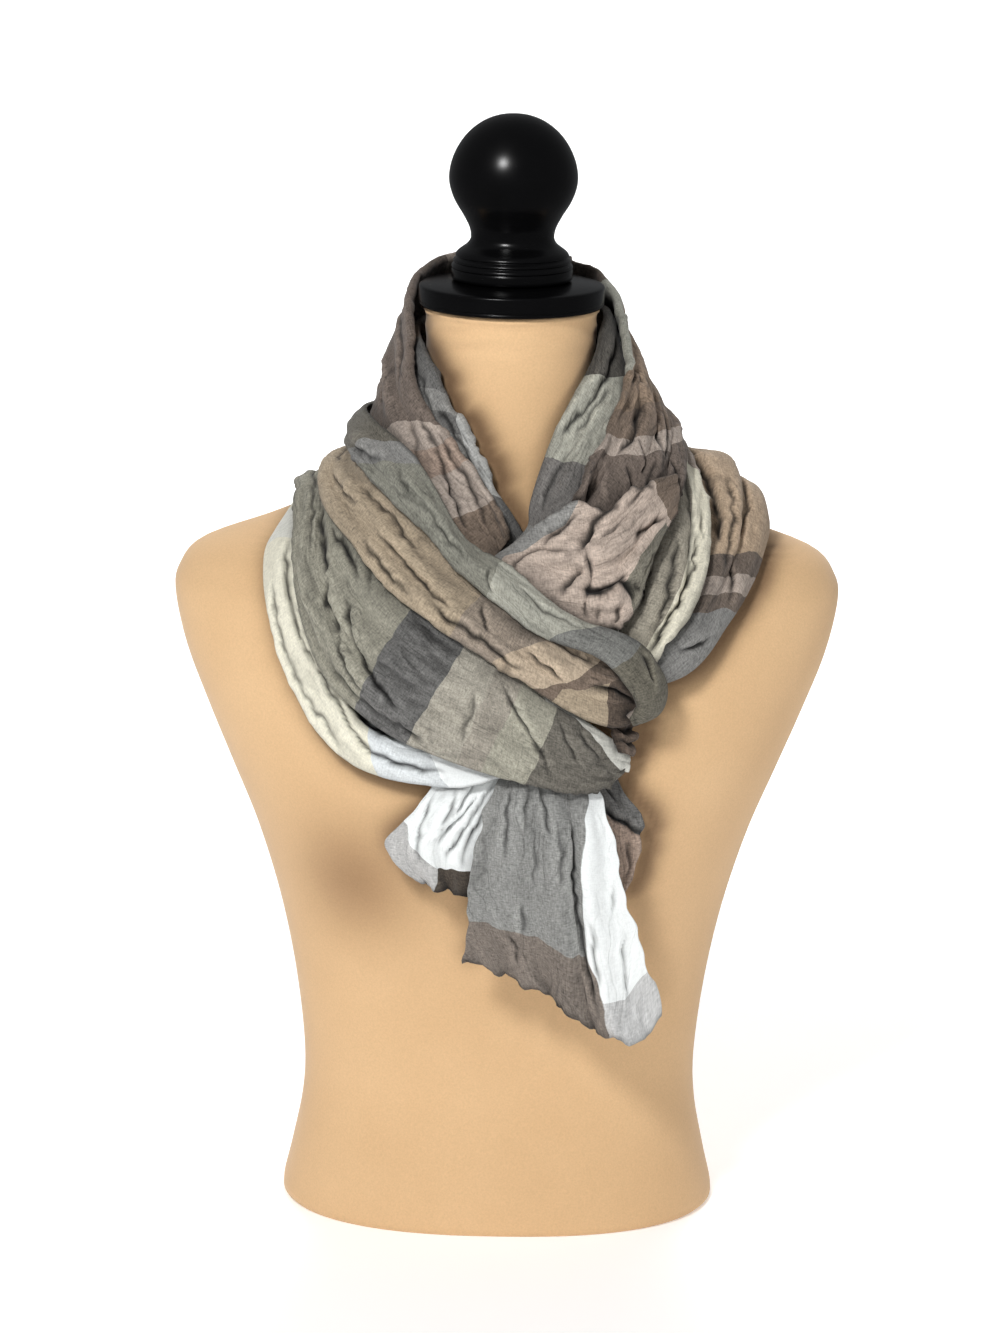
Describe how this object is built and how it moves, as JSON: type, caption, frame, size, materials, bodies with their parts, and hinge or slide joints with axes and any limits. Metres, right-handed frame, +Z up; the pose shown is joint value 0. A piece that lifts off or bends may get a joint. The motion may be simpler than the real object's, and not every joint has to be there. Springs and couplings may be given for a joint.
{
  "type": "wound crinkled scarf on a dress form",
  "caption": "Light crinkled check scarf wound round the neck of a limbless jersey-covered dress form with a black turned wooden cap; stands on the form's flat underside.",
  "frame": {"origin": "centre of the form's flat underside, below the neck's axis", "axes": "+Z up along the neck, -Y the form's front, +X the form's left side, which is the right of a front view"},
  "size_m": [0.3938, 0.2378, 0.661],
  "materials": {
    "jersey": "matt fine jersey cover",
    "black_wood": "turned, black gloss lacquer",
    "scarf_gauze": "crinkled yarn-dyed gauze, muted block check"
  },
  "bodies": {
    "root": {"form_body": "jersey", "cap_disc": "black_wood", "cap_finial": "black_wood", "inner_left": "scarf_gauze", "inner_right": "scarf_gauze", "collar_left": "scarf_gauze", "collar_right": "scarf_gauze", "shoulder_stripe": "scarf_gauze", "rear_turn": "scarf_gauze", "mauve_bunch": "scarf_gauze", "front_wide": "scarf_gauze", "front_cream": "scarf_gauze", "front_middle": "scarf_gauze", "front_upper": "scarf_gauze", "knot_gathers": "scarf_gauze", "tail_panel": "scarf_gauze", "tail_gusset": "scarf_gauze", "tail_back": "scarf_gauze"}
  },
  "joints": []
}
